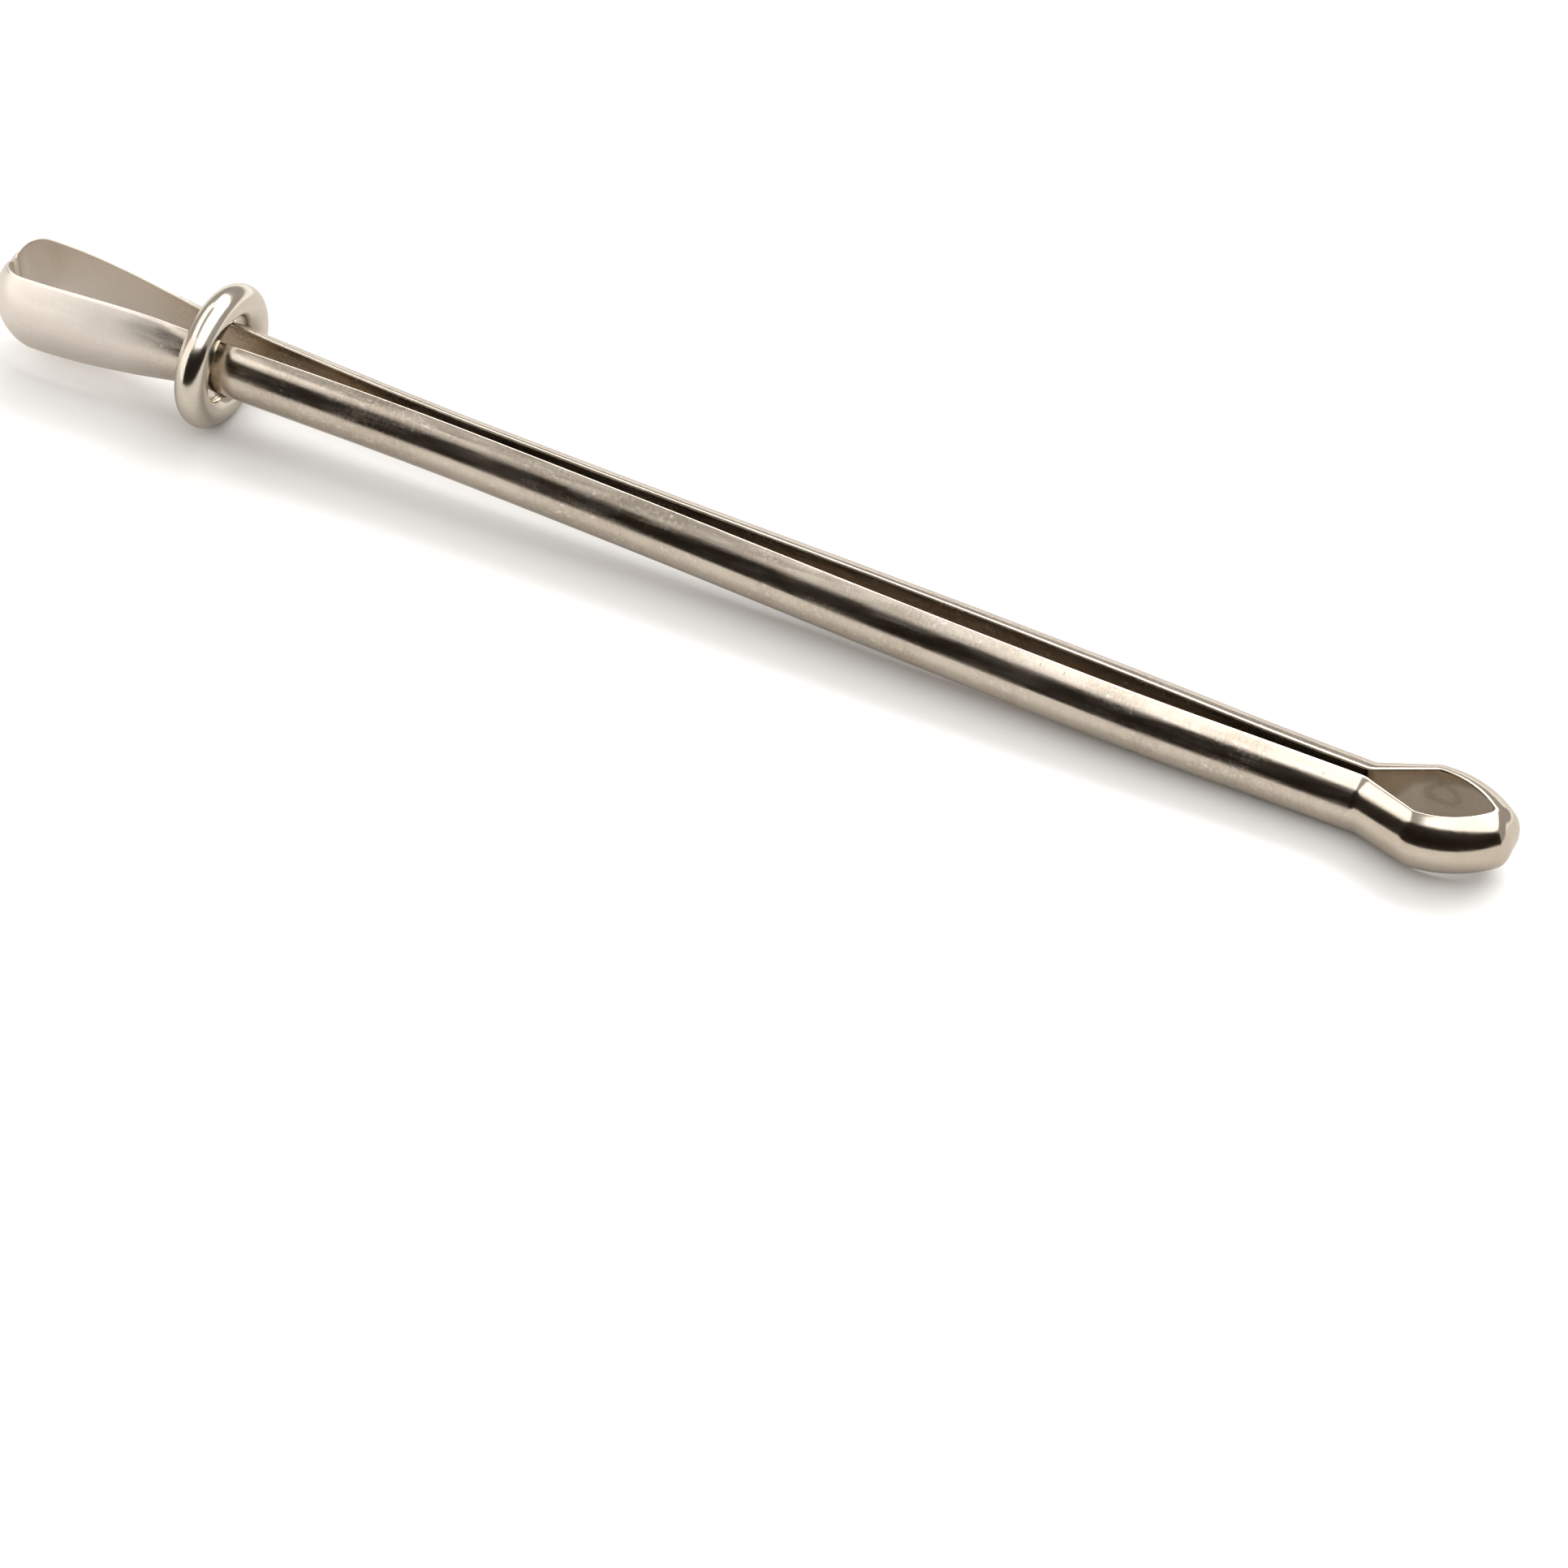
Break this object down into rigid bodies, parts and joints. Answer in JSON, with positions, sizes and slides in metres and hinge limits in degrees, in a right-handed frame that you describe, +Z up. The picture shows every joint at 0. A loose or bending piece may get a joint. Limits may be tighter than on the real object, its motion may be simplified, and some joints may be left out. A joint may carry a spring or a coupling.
{
  "type": "slide-ring spring tweezers",
  "caption": "Folded half-round spring strip with a looped nose, hooked flat jaws and a thick ring that slides along the legs to lock the jaws shut.",
  "frame": {"origin": "middle of the box's underside: the tool lies on its ring and its neck", "axes": "+X from the jaws towards the looped nose, +Z up, the front leg towards -Y"},
  "size_m": [0.0702, 0.0064, 0.0065],
  "materials": {
    "nickel_strip": "warm nickel plate, polished, lightly rubbed",
    "nickel_ring": "warm nickel plate, polished"
  },
  "bodies": {
    "spring_body": {"nose_loop": "nickel_strip", "front_leg": "nickel_strip", "rear_leg": "nickel_strip"},
    "front_arm_body": {"front_arm": "nickel_strip", "front_jaw": "nickel_strip"},
    "rear_arm_body": {"rear_arm": "nickel_strip", "rear_jaw": "nickel_strip"},
    "ring_body": {"lock_ring": "nickel_ring"}
  },
  "joints": [
    {"name": "ring_slide", "type": "slide", "parent": "spring_body", "child": "ring_body", "axis": [0.9994, 0, -0.0355], "range_m": [0, 0.05]},
    {"name": "front_arm_flex", "type": "hinge", "parent": "spring_body", "child": "front_arm_body", "pos_m": [-0.00821, -0.00132, 0.00268], "axis": [0.0355, 0, 0.9994], "range_deg": [0, 5]},
    {"name": "rear_arm_flex", "type": "hinge", "parent": "spring_body", "child": "rear_arm_body", "pos_m": [-0.00821, 0.00132, 0.00268], "axis": [-0.0355, 0, -0.9994], "range_deg": [0, 5]}
  ],
  "couplings": [
    {"joint": "front_arm_flex", "follows": "ring_slide", "rad_per_m": 1.745},
    {"joint": "rear_arm_flex", "follows": "ring_slide", "rad_per_m": 1.745}
  ]
}
